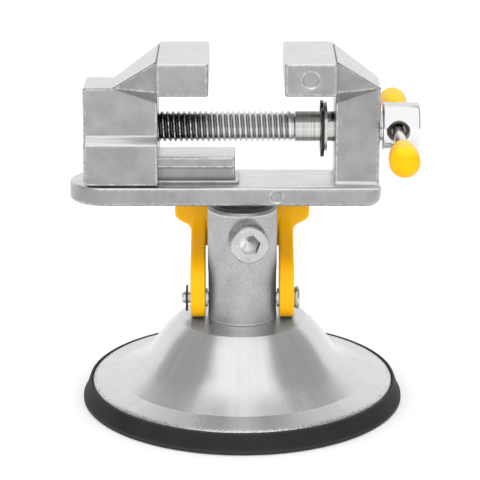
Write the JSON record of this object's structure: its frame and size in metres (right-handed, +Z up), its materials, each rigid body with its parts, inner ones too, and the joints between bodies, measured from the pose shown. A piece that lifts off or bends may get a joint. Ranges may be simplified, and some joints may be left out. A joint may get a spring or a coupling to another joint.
{
  "type": "suction base vise",
  "caption": "Small bench vise on a swivelling neck, held to a smooth bench by a lever-operated suction pad, with a screw-driven sliding jaw.",
  "frame": {"origin": "on the bench face of the rubber pad, under the middle of the neck", "axes": "+Z up along the neck, +X along the lead screw towards its head, +Y away from the user, towards the lever"},
  "size_m": [0.0906, 0.085, 0.0936],
  "materials": {
    "cast_aluminium": "satin, tumbled die casting",
    "polished_aluminium": "spun and polished",
    "satin_neck": "fine satin grain",
    "rubber": "matte moulded",
    "yellow_plastic": "satin moulded",
    "yellow_vinyl": "soft dipped",
    "zinc_steel": "zinc plated",
    "turned_steel": "turned bright",
    "spring_steel": "bright wire",
    "black_steel": "phosphated black",
    "black_plastic": "matte",
    "brass": "dull passivated",
    "nickel_screw": "nickel plated",
    "chrome_steel": "bright plated",
    "chrome_washer": "bright plated"
  },
  "bodies": {
    "base": {"rubber_pad": "rubber", "suction_dome": "polished_aluminium", "neck_post": "satin_neck", "neck_nut": "zinc_steel", "return_spring": "spring_steel", "swivel_ring": "black_plastic"},
    "puller": {"pull_rod": "zinc_steel", "pull_plate": "zinc_steel", "pivot_pin": "zinc_steel", "pin_clip": "black_steel", "pin_washer": "brass", "arm_spacers": "zinc_steel"},
    "lever": {"suction_lever": "yellow_plastic"},
    "clamp_screw": {"lock_screw": "nickel_screw"},
    "head": {"vise_frame": "cast_aluminium", "swivel_stem": "turned_steel"},
    "jaw": {"moving_jaw": "cast_aluminium"},
    "spindle": {"lead_screw": "chrome_steel", "screw_clip": "black_steel", "screw_washer": "chrome_washer"},
    "handle": {"tommy_bar": "chrome_washer", "bar_cap_front": "yellow_vinyl", "bar_cap_rear": "yellow_vinyl"}
  },
  "joints": [
    {"name": "suction_lift", "type": "slide", "parent": "base", "child": "puller", "axis": [0, 0, 1], "range_m": [0, 0.00241], "deforming": ["return_spring"]},
    {"name": "lever_swing", "type": "hinge", "parent": "puller", "child": "lever", "pos_m": [0, 0, 0.0273], "axis": [-1, 0, 0], "range_deg": [0, 66]},
    {"name": "lock_screw_turn", "type": "hinge", "parent": "base", "child": "clamp_screw", "pos_m": [0, 0, 0.0465], "axis": [0.1219, -0.9925, 0], "range_deg": [0, 720]},
    {"name": "head_swivel", "type": "hinge", "parent": "base", "child": "head", "pos_m": [0, 0, 0.0551], "axis": [0, 0, 1], "continuous": true},
    {"name": "screw_turn", "type": "hinge", "parent": "head", "child": "spindle", "pos_m": [0, 0, 0.0741], "axis": [-1, 0, 0], "range_deg": [-1530, 4890]},
    {"name": "jaw_slide", "type": "slide", "parent": "head", "child": "jaw", "axis": [1, 0, 0], "range_m": [-0.006, 0.0192]},
    {"name": "bar_slide", "type": "slide", "parent": "spindle", "child": "handle", "axis": [0.0175, 0.9998, 0], "range_m": [-0.009, 0.0175]}
  ],
  "couplings": [
    {"joint": "suction_lift", "follows": "lever_swing", "m_per_rad": 0.0020835},
    {"joint": "jaw_slide", "follows": "screw_turn", "m_per_rad": 0.00022457}
  ]
}
